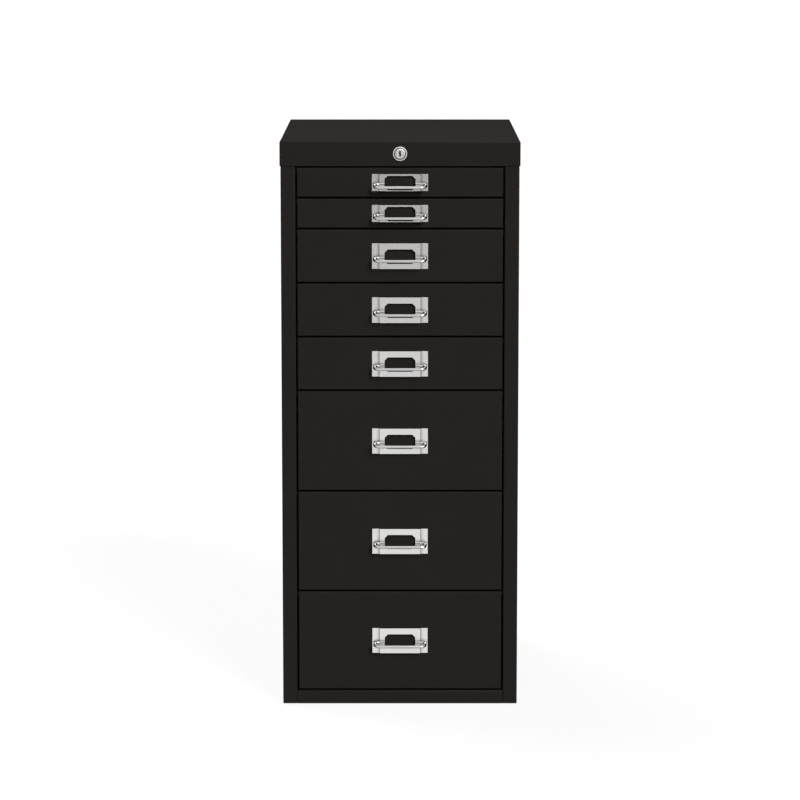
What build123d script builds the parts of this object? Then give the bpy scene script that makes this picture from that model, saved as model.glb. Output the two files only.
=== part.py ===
from build123d import *
import os
from math import atan2, cos, degrees, hypot, pi, radians, sin

# A steel cabinet of eight drawers on clip-in runners, with one lock that holds them all.
# Millimetres. +Z is up, the front faces -Y, and the origin is on the floor under the middle of the whole.

# Carcass of folded sheet steel
body_width = 279.0
body_depth = 380.0
body_height = 673.0
sheet = 1.0
fold_radius = 1.6
post_width = 17.2
post_lip = 12.0
rear_flange = 14.0
floor_gap = 1.5
base_rail = 15.9
ear_play = 0.3
cap_skirt = 29.0
cap_edge_radius = 2.0

# Glide feet pushed into the corners of the base
glide_size = 26.0
glide_edge = 1.0
glide_play = 0.1

# Drawer fronts, folded pans closed behind by the tray
drawer_gap = 2.0
side_gap = 1.85
shallow_count = 2
middle_count = 3
deep_count = 3
shallow_front = 34.2
middle_front = 61.7
front_depth = 14.0
front_edge_radius = 1.2
drawer_sheet = 0.8
skin_inset = 0.3

# Drawer trays, hung by their flanges
tray_drop = 5.0
tray_rise = 3.0
flange_width = 6.4
stop_ear_length = 10.0
stop_ear_height = 3.5
rear_space = 34.0

# Runners, clipped to punched uprights
upright_width = 24.0
upright_inset = 0.5
upright_setback = 8.0
runner_wall = 1.5
runner_setback = 2.0
runner_play = 0.3
runner_side_play = 0.5
hold_down_length = 50.0
hold_down_play = 0.6
rear_stop_wall = 2.0
stop_play = 0.3
clip_width = 12.0
clip_neck = 2.4
clip_barb = 1.5
clip_reach = 1.4
clip_play = 0.2

# Handle plates with a card window and a wire pull
plate_width = 65.6
plate_height = 31.0
plate_margin = 1.85
plate_sheet = 0.8
plate_raise = 2.3
raised_width = 48.9
step_run = 0.8
window_width = 36.2
window_height = 17.0
window_chamfer = 3.7
window_drop = 0.6
tunnel_drop = 2.1
tunnel_length = 5.2
tunnel_play = 0.05
wire_diameter = 3.6
wire_sides = 8
bend_steps = 6
wire_lift = 0.3
pull_span = 63.5
pull_stand = 13.0
pull_drop = 5.0

# Lock in the cap
lock_flange_radius = 8.4
lock_flange_height = 2.2
lock_flange_bevel = 0.5
lock_body_radius = 7.5
lock_body_length = 20.0
lock_groove_radius = 6.9
lock_groove_depth = 0.9
plug_radius = 6.0
plug_recess = 0.3
plug_edge = 0.35
plug_tail = 6.0
keyway_width = 1.5
keyway_height = 6.2
keyway_depth = 14.0
ward_width = 0.9
ward_height = 1.8
lock_nut_across = 19.0
lock_nut_height = 3.0
running_play = 0.05
fit_play = 0.1
rail_depth = 20.0

# Shaft, crank and lifting bar of the lock
shaft_radius = 3.0
shaft_seat = 4.0
crank_radius = 7.0
crank_hub_radius = 6.0
crank_boss_radius = 3.6
crank_height = 4.0
crank_gap = 0.8
crank_pin_radius = 2.0
crank_slot_play = 0.4
crank_turn = 90.0
bracket_width = 26.0
bracket_flange = 15.0
bracket_drop = 9.0
bracket_sheet = 2.0
bracket_gap = 0.6
bar_width = 20.0
bar_sheet = 3.0
bar_play = 0.4
bar_head = 2.5
bar_tail = 3.0
guide_sheet = 1.2
guide_ear = 8.0
guide_height = 12.0
guide_gap = 1.5

# Keepers on the drawers and the fingers that catch them
keeper_width = 18.0
keeper_sheet = 1.2
keeper_reach = 14.0
keeper_lip = 10.0
keeper_leg = 9.0
keeper_drop = 1.0
finger_width = 12.0
finger_sheet = 2.0
finger_clear = 2.0
finger_height = 14.0
finger_leg = 10.0
latch_play = 1.5

# One overrun for every cut that passes through its piece
overrun = 1.0

# Main planes, worked out from the sizes above
wire_radius = wire_diameter / 2
pull_reach = pull_stand + wire_radius
whole_depth = pull_reach + body_depth + sheet
front_y = pull_reach - whole_depth / 2
back_y = front_y + body_depth
back_face_y = back_y - 2 * sheet
side_x = body_width / 2
post_x = side_x - post_width
lip_end_y = front_y + post_lip
pan_back_y = back_y - fold_radius
inner_x = side_x - sheet
cap_under_z = body_height - sheet
panel_top_z = body_height - cap_edge_radius
base_top_z = floor_gap + base_rail
opening_top_z = body_height - cap_skirt
front_width = 2 * (post_x - side_gap)

# Drawer fronts from the top down, as (bottom, top); the deep ones share what is left of the opening
drawer_count = shallow_count + middle_count + deep_count
fronts_total = opening_top_z - base_top_z - (drawer_count + 1) * drawer_gap
deep_front = (fronts_total - shallow_count * shallow_front - middle_count * middle_front) / deep_count
front_heights = [shallow_front] * shallow_count + [middle_front] * middle_count + [deep_front] * deep_count
fronts = []
for number, height in enumerate(front_heights):
    front_top_z = opening_top_z - drawer_gap * (number + 1) - sum(front_heights[:number])
    fronts.append((front_top_z - height, front_top_z))

# Drawer suspension, from the uprights inward and from the front back
upright_x = post_x + upright_inset
web_x = upright_x - runner_wall
flange_x = web_x - runner_side_play
tray_x = flange_x - flange_width
lip_x = tray_x + runner_side_play
skin_y = front_y + front_depth
tray_front_y = skin_y + drawer_sheet
runner_front_y = tray_front_y + runner_setback
tray_back_y = back_face_y - rear_space
runner_back_y = tray_back_y + stop_play + rear_stop_wall
hold_down_y = runner_front_y + hold_down_length
drawer_travel = tray_back_y - stop_ear_length - hold_down_y - stop_play
upright_ys = (
    runner_front_y + upright_setback + upright_width / 2,
    runner_back_y - upright_setback - upright_width / 2,
)

# Lock line: the crank pin swings a quarter turn, evenly about level, and lifts the bar
lock_z = body_height - cap_skirt / 2
half_turn = radians(crank_turn / 2)
bar_lift = 2 * crank_radius * sin(half_turn)
pin_x = -crank_radius * cos(half_turn)
pin_z = lock_z - bar_lift / 2
bar_x = (pin_x - crank_radius) / 2
bar_back_y = back_face_y - bar_play
bar_front_y = bar_back_y - bar_sheet
crank_back_y = bar_front_y - crank_gap
crank_front_y = crank_back_y - crank_height
bracket_back_y = crank_front_y - bracket_gap
finger_y = tray_back_y + keeper_reach - keeper_sheet - latch_play - finger_sheet / 2
plug_front_y = front_y - sheet - lock_flange_height + plug_recess
plug_back_y = front_y + lock_body_length + plug_tail

# Handle line, measured from the drawer fronts
wire_root_y = front_y - plate_sheet - wire_lift - wire_radius
pull_fall = pull_drop - tunnel_drop
pull_forward = wire_root_y - front_y + pull_stand
pull_slope = atan2(pull_fall, pull_forward)
pull_bend = hypot(pull_fall, pull_forward) / 2
wire_turn = degrees(2 * pull_slope)
bend_x = pull_span / 2 - wire_radius - pull_bend
tunnel_radius = wire_radius + tunnel_play
small_plate_height = window_height + 2 * plate_margin


def folded_strip(points, thickness, middle_radius=0):
    """Draw a bent strip of sheet along its middle line, inside the sketch that calls it."""
    with BuildLine() as middle:
        FilletPolyline(*points, radius=middle_radius)
    trace(middle.line, line_width=thickness)


def save(piece, name):
    """Label a finished piece and write it under its name."""
    piece.label = name
    export_step(piece, f"parts/{name}.step")


def side_panel(hand):
    """One side with its front post, the post's inner lip and the rear flange, in one folded sheet."""
    outer_x = hand * (side_x - sheet / 2)
    lip_middle_x = hand * (post_x + sheet / 2)
    front_middle_y = front_y + sheet / 2
    back_middle_y = back_y - sheet / 2
    with BuildPart() as panel:
        with BuildSketch(Plane.XY.offset(floor_gap)):
            folded_strip(
                [
                    (hand * (side_x - rear_flange), back_middle_y),
                    (outer_x, back_middle_y),
                    (outer_x, front_middle_y),
                    (lip_middle_x, front_middle_y),
                    (lip_middle_x, lip_end_y),
                ],
                sheet,
                fold_radius - sheet / 2,
            )
        extrude(amount=panel_top_z - floor_gap)
    return panel.part


def base_panel():
    """The floor pan: a plate folded down all round, with a flat ear that closes the foot of each post."""
    ear_width = post_width - 2 * (sheet + ear_play)
    ear_length = post_lip - sheet - ear_play
    ear_x = side_x - post_width / 2
    ear_y = lip_end_y - ear_length / 2
    with BuildPart() as base:
        with BuildSketch(Plane.XY.offset(floor_gap)):
            with Locations((0, (front_y + lip_end_y) / 2)):
                Rectangle(2 * post_x, post_lip)
            with Locations((0, (lip_end_y + pan_back_y) / 2)):
                Rectangle(2 * inner_x, pan_back_y - lip_end_y)
        extrude(amount=base_rail)
        top_front = base.edges().filter_by(Axis.X).group_by(Axis.Z)[-1].sort_by(Axis.Y)[0]
        fillet(top_front, radius=fold_radius)
        offset(amount=-sheet, openings=base.faces().sort_by(Axis.Z)[0])
        with BuildSketch(Plane.XY.offset(base_top_z - sheet)):
            with Locations((-ear_x, ear_y), (ear_x, ear_y)):
                Rectangle(ear_width, ear_length)
        extrude(amount=sheet)
    return base.part


def glide_feet():
    """Four moulded glides, wedged into the base pan's corners and standing a little proud below it."""
    inset = sheet + glide_play + glide_size / 2
    across = inner_x - inset
    with BuildPart() as glides:
        with BuildSketch(Plane.XY):
            with Locations(
                (-across, lip_end_y + inset),
                (across, lip_end_y + inset),
                (-across, pan_back_y - inset),
                (across, pan_back_y - inset),
            ):
                Rectangle(glide_size, glide_size)
        extrude(amount=base_top_z - sheet)
        chamfer(glides.edges().group_by(Axis.Z)[0], length=glide_edge)
    return glides.part


def back_panel():
    """The plain back sheet, inside the side panels' rear flanges."""
    width = 2 * (side_x - fold_radius)
    with BuildPart() as back:
        with BuildSketch(Plane.XY.offset(base_top_z)):
            with Locations((0, back_face_y + sheet / 2)):
                Rectangle(width, sheet)
        extrude(amount=panel_top_z - base_top_z)
    return back.part


def lock_plane(y):
    """A plane square to the lock's axis at depth y, with its normal pointing into the cabinet."""
    return Plane(origin=(0, y, lock_z), x_dir=(-1, 0, 0), z_dir=(0, 1, 0))


def top_cap():
    """The lid: top plate and four skirts over the carcass, with the lock's hole in the front skirt."""
    with BuildPart() as cap:
        with BuildSketch(Plane.XY.offset(opening_top_z)):
            with Locations((0, (front_y + back_y) / 2)):
                Rectangle(body_width + 2 * sheet, body_depth + 2 * sheet)
        extrude(amount=cap_skirt)
        fillet(cap.faces().sort_by(Axis.Z)[-1].edges(), radius=cap_edge_radius)
        offset(amount=-sheet, openings=cap.faces().sort_by(Axis.Z)[0])
        with BuildSketch(lock_plane(front_y - sheet - overrun)):
            Circle(lock_body_radius + fit_play)
        extrude(amount=sheet + 2 * overrun, mode=Mode.SUBTRACT)
    return cap.part


def lock_rail():
    """The channel between the posts behind the cap's front skirt, which stiffens it around the lock."""
    web_y = front_y + sheet / 2
    end_y = front_y + rail_depth
    with BuildPart() as rail:
        with BuildSketch(Plane.YZ):
            folded_strip(
                [
                    (end_y, cap_under_z - sheet / 2),
                    (web_y, cap_under_z - sheet / 2),
                    (web_y, opening_top_z + sheet / 2),
                    (end_y, opening_top_z + sheet / 2),
                ],
                sheet,
                fold_radius - sheet / 2,
            )
        extrude(amount=post_x, both=True)
        with BuildSketch(lock_plane(front_y - overrun)):
            Circle(lock_body_radius + fit_play)
        extrude(amount=sheet + 2 * overrun, mode=Mode.SUBTRACT)
    return rail.part


def flange_z(top_z):
    """Underside of a tray's flange, for a drawer front that ends at top_z."""
    return top_z - tray_drop - drawer_sheet


def clip_z(top_z):
    """Underside of the runner's clip necks, at the underside of its lower lip."""
    return flange_z(top_z) - runner_play - runner_wall


def runner_uprights():
    """Four punched channels inside the sides, which the runners clip into."""
    slot_height = clip_neck + clip_barb + clip_play
    with BuildPart() as uprights:
        for hand in (-1, 1):
            face_x = hand * (upright_x + sheet / 2)
            for middle_y in upright_ys:
                low_y = middle_y - upright_width / 2 + sheet / 2
                high_y = middle_y + upright_width / 2 - sheet / 2
                with BuildSketch(Plane.XY.offset(base_top_z)):
                    folded_strip(
                        [
                            (hand * inner_x, low_y),
                            (face_x, low_y),
                            (face_x, high_y),
                            (hand * inner_x, high_y),
                        ],
                        sheet,
                    )
                extrude(amount=panel_top_z - base_top_z)
                with BuildSketch(Plane.YZ.offset(face_x)):
                    for bottom_z, top_z in fronts:
                        with Locations((middle_y, clip_z(top_z) + slot_height / 2)):
                            Rectangle(clip_width + clip_play, slot_height)
                extrude(amount=sheet, both=True, mode=Mode.SUBTRACT)
    return uprights.part


def runners(hand):
    """The eight channel runners of one side, with hold-down lip, rear stop and two hooked clips each."""
    with BuildPart() as side_runners:
        for bottom_z, top_z in fronts:
            low_z = clip_z(top_z)
            seat_z = low_z + runner_wall
            hold_z = flange_z(top_z) + drawer_sheet + hold_down_play
            high_z = hold_z + runner_wall
            with BuildSketch(Plane.XZ.offset(-runner_front_y)):
                with BuildLine():
                    Polyline(
                        (hand * lip_x, low_z),
                        (hand * upright_x, low_z),
                        (hand * upright_x, high_z),
                        (hand * web_x, high_z),
                        (hand * web_x, seat_z),
                        (hand * lip_x, seat_z),
                        close=True,
                    )
                make_face()
            extrude(amount=runner_front_y - runner_back_y)
            with BuildSketch(Plane.XZ.offset(-runner_front_y)):
                with Locations((hand * (lip_x + upright_x) / 2, (hold_z + high_z) / 2)):
                    Rectangle(upright_x - lip_x, runner_wall)
            extrude(amount=-hold_down_length)
            with BuildSketch(Plane.XZ.offset(-runner_back_y)):
                with Locations((hand * (lip_x + upright_x) / 2, (low_z + high_z) / 2)):
                    Rectangle(upright_x - lip_x, high_z - low_z)
            extrude(amount=rear_stop_wall)
            for middle_y in upright_ys:
                hook_x = upright_x + sheet
                end_x = hook_x + clip_reach
                with BuildSketch(Plane.XZ.offset(clip_width / 2 - middle_y)):
                    with BuildLine():
                        Polyline(
                            (hand * web_x, low_z),
                            (hand * hook_x, low_z),
                            (hand * hook_x, low_z - clip_barb),
                            (hand * end_x, low_z - clip_barb),
                            (hand * end_x, low_z + clip_neck),
                            (hand * web_x, low_z + clip_neck),
                            close=True,
                        )
                    make_face()
                extrude(amount=-clip_width)
    return side_runners.part


def lock_housing():
    """The fixed lock body: a bevelled ring on the cap's face and a barrel through it."""
    with BuildPart() as housing:
        with BuildSketch(lock_plane(front_y - sheet)):
            Circle(lock_flange_radius)
        extrude(amount=-lock_flange_height)
        ring = housing.edges().sort_by(Axis.Y)[0]
        chamfer(ring, length=lock_flange_bevel)
        with BuildSketch(lock_plane(front_y - sheet)):
            Circle(lock_body_radius)
        extrude(amount=sheet + lock_body_length)
        with BuildSketch(lock_plane(front_y + lock_body_length)):
            Circle(plug_radius + running_play)
        extrude(amount=-lock_body_length - sheet - lock_flange_height, mode=Mode.SUBTRACT)
        with BuildSketch(lock_plane(front_y - sheet - lock_flange_height)):
            Circle(lock_groove_radius)
        extrude(amount=lock_groove_depth, mode=Mode.SUBTRACT)
    return housing.part


def lock_nut():
    """The thin hexagon nut that clamps the housing to the rail."""
    with BuildPart() as nut:
        with BuildSketch(lock_plane(front_y + sheet)):
            RegularPolygon(lock_nut_across / 2, 6, major_radius=False)
            Circle(lock_body_radius + running_play, mode=Mode.SUBTRACT)
        extrude(amount=lock_nut_height)
    return nut.part


def lock_plug():
    """The turning plug, with a stepped keyway in front and the shaft's seat behind."""
    with BuildPart() as plug:
        with BuildSketch(lock_plane(plug_front_y)):
            Circle(plug_radius)
        extrude(amount=plug_back_y - plug_front_y)
        chamfer(plug.edges().sort_by(Axis.Y)[0], length=plug_edge)
        with BuildSketch(lock_plane(plug_front_y)):
            Rectangle(keyway_width, keyway_height)
            with Locations(
                (keyway_width / 2, ward_height),
                (-keyway_width / 2, -ward_height),
            ):
                Rectangle(2 * ward_width, ward_height)
        extrude(amount=keyway_depth, mode=Mode.SUBTRACT)
        with BuildSketch(lock_plane(plug_back_y)):
            Circle(shaft_radius + running_play)
        extrude(amount=-shaft_seat, mode=Mode.SUBTRACT)
    return plug.part


def lock_shaft():
    """The round shaft under the cap, from the plug back to the crank."""
    with BuildPart() as shaft:
        with BuildSketch(lock_plane(plug_back_y - shaft_seat)):
            Circle(shaft_radius)
        extrude(amount=crank_back_y - plug_back_y + shaft_seat)
    return shaft.part


def lock_crank():
    """The crank on the shaft's rear end, whose pin lifts the bar."""
    pin_place = (-pin_x, pin_z - lock_z)
    with BuildPart() as crank:
        with BuildSketch(lock_plane(crank_front_y)):
            Circle(crank_hub_radius)
            with Locations(pin_place):
                Circle(crank_boss_radius)
            make_hull()
            Circle(shaft_radius + running_play, mode=Mode.SUBTRACT)
        extrude(amount=crank_height)
        with BuildSketch(lock_plane(crank_back_y)):
            with Locations(pin_place):
                Circle(crank_pin_radius)
        extrude(amount=crank_gap + bar_sheet)
    return crank.part


def shaft_bracket():
    """The angle under the cap that carries the shaft's rear end."""
    plate_y = bracket_back_y - bracket_sheet / 2
    flange_middle_z = cap_under_z - bracket_sheet / 2
    with BuildPart() as bracket:
        with BuildSketch(Plane.YZ):
            folded_strip(
                [
                    (plate_y, lock_z - bracket_drop),
                    (plate_y, flange_middle_z),
                    (plate_y - bracket_flange, flange_middle_z),
                ],
                bracket_sheet,
            )
        extrude(amount=bracket_width / 2, both=True)
        with BuildSketch(lock_plane(bracket_back_y + overrun)):
            Circle(shaft_radius + running_play)
        extrude(amount=-bracket_sheet - 2 * overrun, mode=Mode.SUBTRACT)
    return bracket.part


def keeper_top_z(top_z):
    """Top of a drawer's keeper, just under its tray's edge."""
    return top_z - tray_drop - keeper_drop


def finger_tip_z(top_z):
    """Tip of the finger below a drawer's keeper, with the bar down."""
    return keeper_top_z(top_z) - keeper_lip - finger_clear


def arm_z(top_z):
    """Middle of the finger's level arm."""
    return finger_tip_z(top_z) - finger_height + finger_sheet / 2


def guide_z(top_z):
    """Foot of a guide strap that sits just below a finger's leg."""
    return arm_z(top_z) - finger_leg - guide_gap - guide_height


def lock_bar():
    """The flat bar on the back panel, with a cross slot for the crank pin at its head."""
    slot_half = crank_pin_radius + crank_slot_play
    head_z = pin_z + slot_half + bar_head
    tail_z = guide_z(fronts[-1][1]) - bar_tail
    with BuildPart() as bar:
        with BuildSketch(Plane.XZ.offset(-bar_front_y)):
            with Locations((bar_x, (head_z + tail_z) / 2)):
                Rectangle(bar_width, head_z - tail_z)
            with Locations((bar_x, pin_z)):
                SlotCenterToCenter(
                    crank_radius + pin_x + 2 * crank_slot_play, 2 * slot_half, mode=Mode.SUBTRACT
                )
        extrude(amount=-bar_sheet)
    return bar.part


def lock_fingers():
    """Eight bent fingers welded to the bar, one below each drawer's keeper."""
    leg_y = bar_front_y - finger_sheet / 2
    with BuildPart() as fingers:
        for bottom_z, top_z in fronts:
            with BuildSketch(Plane.YZ.offset(bar_x)):
                folded_strip(
                    [
                        (leg_y, arm_z(top_z) - finger_leg),
                        (leg_y, arm_z(top_z)),
                        (finger_y, arm_z(top_z)),
                        (finger_y, finger_tip_z(top_z)),
                    ],
                    finger_sheet,
                )
            extrude(amount=finger_width / 2, both=True)
    return fingers.part


def bar_guides():
    """Three straps on the back panel that the bar slides behind, near its head, middle and foot."""
    inside_x = bar_width / 2 + bar_play + guide_sheet / 2
    outside_x = inside_x + guide_ear
    foot_y = back_face_y - guide_sheet / 2
    bridge_y = bar_front_y - bar_play - guide_sheet / 2
    guided = (0, shallow_count + middle_count - 1, drawer_count - 1)
    with BuildPart() as guides:
        for number in guided:
            with BuildSketch(Plane.XY.offset(guide_z(fronts[number][1]))):
                folded_strip(
                    [
                        (bar_x - outside_x, foot_y),
                        (bar_x - inside_x, foot_y),
                        (bar_x - inside_x, bridge_y),
                        (bar_x + inside_x, bridge_y),
                        (bar_x + inside_x, foot_y),
                        (bar_x + outside_x, foot_y),
                    ],
                    guide_sheet,
                )
            extrude(amount=guide_height)
    return guides.part


def drawer_front(bottom_z, top_z):
    """A drawer's outer skin: a pan with returned edges, open behind."""
    with BuildPart() as front:
        with BuildSketch(Plane.XZ.offset(-front_y)):
            with Locations((0, (bottom_z + top_z) / 2)):
                Rectangle(front_width, top_z - bottom_z)
        extrude(amount=-front_depth)
        fillet(front.faces().sort_by(Axis.Y)[0].edges(), radius=front_edge_radius)
        with BuildSketch(Plane.XZ.offset(-skin_y)):
            with Locations((0, (bottom_z + top_z) / 2)):
                Rectangle(front_width - 2 * drawer_sheet, top_z - bottom_z - 2 * drawer_sheet)
        extrude(amount=front_depth - drawer_sheet, mode=Mode.SUBTRACT)
    return front.part


def drawer_tray(bottom_z, top_z):
    """A drawer's folded tray, with its inner front skin, hanging flanges and rear stop ears."""
    floor_z = bottom_z + tray_rise
    edge_z = top_z - tray_drop
    middle_y = (skin_y + tray_back_y) / 2
    flange_middle_x = tray_x + flange_width / 2
    with BuildPart() as tray:
        with BuildSketch(Plane.XY.offset(floor_z)):
            with Locations((0, middle_y)):
                Rectangle(2 * tray_x, tray_back_y - skin_y)
        extrude(amount=edge_z - floor_z)
        offset(amount=-drawer_sheet, openings=tray.faces().sort_by(Axis.Z)[-1])
        with BuildSketch(Plane.XZ.offset(-skin_y)):
            with Locations((0, (bottom_z + top_z) / 2)):
                Rectangle(front_width - 2 * skin_inset, top_z - bottom_z - 2 * skin_inset)
        extrude(amount=-drawer_sheet)
        with BuildSketch(Plane.XY.offset(edge_z)):
            with Locations((-flange_middle_x, middle_y), (flange_middle_x, middle_y)):
                Rectangle(flange_width, tray_back_y - skin_y)
        extrude(amount=-drawer_sheet)
        ear_x = flange_x - drawer_sheet / 2
        ear_y = tray_back_y - stop_ear_length / 2
        with BuildSketch(Plane.XY.offset(edge_z)):
            with Locations((-ear_x, ear_y), (ear_x, ear_y)):
                Rectangle(drawer_sheet, stop_ear_length)
        extrude(amount=stop_ear_height)
    return tray.part


def drawer_keeper(top_z):
    """The bent strip on a tray's back that the finger rises into."""
    high_z = keeper_top_z(top_z) - keeper_sheet / 2
    leg_y = tray_back_y + keeper_sheet / 2
    lip_y = tray_back_y + keeper_reach - keeper_sheet / 2
    with BuildPart() as keeper:
        with BuildSketch(Plane.YZ.offset(bar_x)):
            folded_strip(
                [
                    (leg_y, keeper_top_z(top_z) - keeper_leg),
                    (leg_y, high_z),
                    (lip_y, high_z),
                    (lip_y, keeper_top_z(top_z) - keeper_lip),
                ],
                keeper_sheet,
            )
        extrude(amount=keeper_width / 2, both=True)
    return keeper.part


def handle_plate(middle_z, height):
    """The pressed plate: side flanges on the drawer, a raised middle with the card window, two tunnels."""
    flat_y = front_y - plate_sheet / 2
    raised_y = flat_y - plate_raise
    raised_x = raised_width / 2
    step_x = raised_x + step_run
    tunnel_z = middle_z - tunnel_drop
    with BuildPart() as plate:
        with BuildSketch(Plane.XY.offset(middle_z - height / 2)):
            folded_strip(
                [
                    (-plate_width / 2, flat_y),
                    (-step_x, flat_y),
                    (-raised_x, raised_y),
                    (raised_x, raised_y),
                    (step_x, flat_y),
                    (plate_width / 2, flat_y),
                ],
                plate_sheet,
            )
        extrude(amount=height)
        with BuildSketch(Plane.XZ.offset(-front_y)):
            with Locations((0, middle_z - window_drop)):
                window = Rectangle(window_width, window_height)
            chamfer(window.vertices(), length=window_chamfer)
        extrude(amount=plate_raise + plate_sheet + overrun, mode=Mode.SUBTRACT)
        for hand in (-1, 1):
            with BuildSketch(Plane.YZ.offset(hand * raised_x)):
                with Locations((wire_root_y, tunnel_z)):
                    RegularPolygon(tunnel_radius + plate_sheet, wire_sides, rotation=wire_turn)
                with Locations((front_y - plate_raise / 2, tunnel_z)):
                    Rectangle(plate_raise, 4 * tunnel_radius, mode=Mode.SUBTRACT)
            extrude(amount=-hand * tunnel_length)
            with BuildSketch(Plane.YZ.offset(hand * (step_x + overrun))):
                with Locations((wire_root_y, tunnel_z)):
                    RegularPolygon(tunnel_radius, wire_sides, rotation=wire_turn)
            extrude(amount=-hand * (tunnel_length + step_run + 2 * overrun), mode=Mode.SUBTRACT)
    return plate.part


def wire_pull(middle_z):
    """The bent wire: a front bar, two half-round ends and two tips held in the plate's tunnels."""
    tip_x = raised_width / 2 - tunnel_length
    slope = Plane(
        origin=(0, wire_root_y, middle_z - tunnel_drop),
        x_dir=(1, 0, 0),
        z_dir=(0, sin(pull_slope), -cos(pull_slope)),
    )
    turns = [pi * step / bend_steps for step in range(bend_steps + 1)]
    right_bend = [(bend_x + pull_bend * sin(turn), pull_bend - pull_bend * cos(turn)) for turn in turns]
    left_bend = [(-x, y) for x, y in reversed(right_bend)]
    with BuildPart() as pull:
        with BuildLine(slope) as path:
            Polyline((tip_x, 0), *right_bend, *left_bend, (-tip_x, 0))
        with BuildSketch(Plane.YZ.offset(tip_x)):
            with Locations((wire_root_y, middle_z - tunnel_drop)):
                RegularPolygon(wire_radius, wire_sides, rotation=wire_turn)
        sweep(path=path.wire(), transition=Transition.RIGHT)
    return pull.part


os.makedirs("parts", exist_ok=True)

save(side_panel(-1), "side_panel_left")
save(side_panel(1), "side_panel_right")
save(base_panel(), "base_panel")
save(glide_feet(), "glide_feet")
save(back_panel(), "back_panel")
save(top_cap(), "top_cap")
save(lock_rail(), "lock_rail")
save(runner_uprights(), "runner_uprights")
save(runners(-1), "left_runners")
save(runners(1), "right_runners")
save(lock_housing(), "lock_housing")
save(lock_nut(), "lock_nut")
save(lock_plug(), "lock_plug")
save(lock_shaft(), "lock_shaft")
save(lock_crank(), "lock_crank")
save(shaft_bracket(), "shaft_bracket")
save(lock_bar(), "lock_bar")
save(lock_fingers(), "lock_fingers")
save(bar_guides(), "bar_guides")

for number, (bottom_z, top_z) in enumerate(fronts, start=1):
    middle_z = (bottom_z + top_z) / 2
    height = small_plate_height if number <= shallow_count else plate_height
    save(drawer_front(bottom_z, top_z), f"drawer_{number}_front")
    save(drawer_tray(bottom_z, top_z), f"drawer_{number}_tray")
    save(drawer_keeper(top_z), f"drawer_{number}_keeper")
    save(handle_plate(middle_z, height), f"drawer_{number}_plate")
    save(wire_pull(middle_z), f"drawer_{number}_pull")

print(f"drawer travel {drawer_travel:.2f}, bar lift {bar_lift:.3f} over {crank_turn:.0f} degrees")
print(f"lock axis at z {lock_z:.2f}, front plane y {front_y:.2f}, back plane y {back_y:.2f}")
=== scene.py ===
"""Dress a packed steel multi-drawer cabinet, and set the stage for its picture."""

from math import atan2, cos, hypot, pi, radians, sin, sqrt

import bmesh
import bpy
from bpy.props import FloatProperty, FloatVectorProperty, PointerProperty
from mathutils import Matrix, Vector


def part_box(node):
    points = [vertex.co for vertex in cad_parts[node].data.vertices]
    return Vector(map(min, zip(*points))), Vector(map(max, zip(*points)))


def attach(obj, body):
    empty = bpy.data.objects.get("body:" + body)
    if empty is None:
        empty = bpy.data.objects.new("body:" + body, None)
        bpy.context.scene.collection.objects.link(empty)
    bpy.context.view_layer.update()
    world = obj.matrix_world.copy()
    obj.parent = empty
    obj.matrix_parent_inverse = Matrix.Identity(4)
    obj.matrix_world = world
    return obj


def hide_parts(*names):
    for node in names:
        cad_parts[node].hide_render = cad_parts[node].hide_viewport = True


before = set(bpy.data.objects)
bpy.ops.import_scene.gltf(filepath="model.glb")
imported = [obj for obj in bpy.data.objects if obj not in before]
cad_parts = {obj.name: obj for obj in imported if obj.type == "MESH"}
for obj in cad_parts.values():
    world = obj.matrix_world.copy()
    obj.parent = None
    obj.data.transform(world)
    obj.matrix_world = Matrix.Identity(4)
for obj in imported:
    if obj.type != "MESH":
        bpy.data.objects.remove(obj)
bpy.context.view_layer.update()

bl_info = {
    "name": "Multi-Drawer Cabinet Finishes",
    "version": (1, 0, 0),
    "blender": (4, 5, 0),
    "location": "3D View > Sidebar > Cabinet",
    "description": "Coats, plates and stages a steel cabinet of eight locking drawers",
    "category": "Object",
}

DRAWERS = range(1, 9)
FRONT_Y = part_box("drawer_1_front")[0].y
LOCK_AXIS_Z = (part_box("lock_housing")[0].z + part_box("lock_housing")[1].z) / 2

# All lengths are in metres. Points nearer than this count as one point
TOUCHING = 0.000002
# Faces that turn less than this from each other count as one flat
FLAT_TURN = radians(0.5)
# Edges that turn more than this are sharp, on sheet pieces and on turned ones
SHARP_TURN = radians(40)
SHARP_TURN_ON_LATHE = radians(32)

# Straight steps that stand for a round form
EDGE_STEPS = 2
FOLD_STEPS = 6
TUNNEL_STEPS = 12
BEND_STEPS = 24
WIRE_STEPS = 6
RIM_STEPS = 6
LATHE_STEPS = 96

# Right side of the keyway from its foot up: share of its half height, share of the ward
KEYWAY_SIDE = [(-1, 0), (-0.72, 0), (-0.5, 1), (-0.05, 1), (0.1, 0), (1, 0)]

# A mix of colours goes by the numbers of its sockets, because several have the same name
MIX_SHARE = 0
MIX_FROM = 6
MIX_TO = 7
MIX_RESULT = 2


def linear(code):
    """Turn an sRGB hex colour into linear red, green and blue."""
    levels = [int(code[start:start + 2], 16) / 255 for start in (0, 2, 4)]
    return [v / 12.92 if v <= 0.04045 else ((v + 0.055) / 1.055) ** 2.4 for v in levels]


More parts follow.
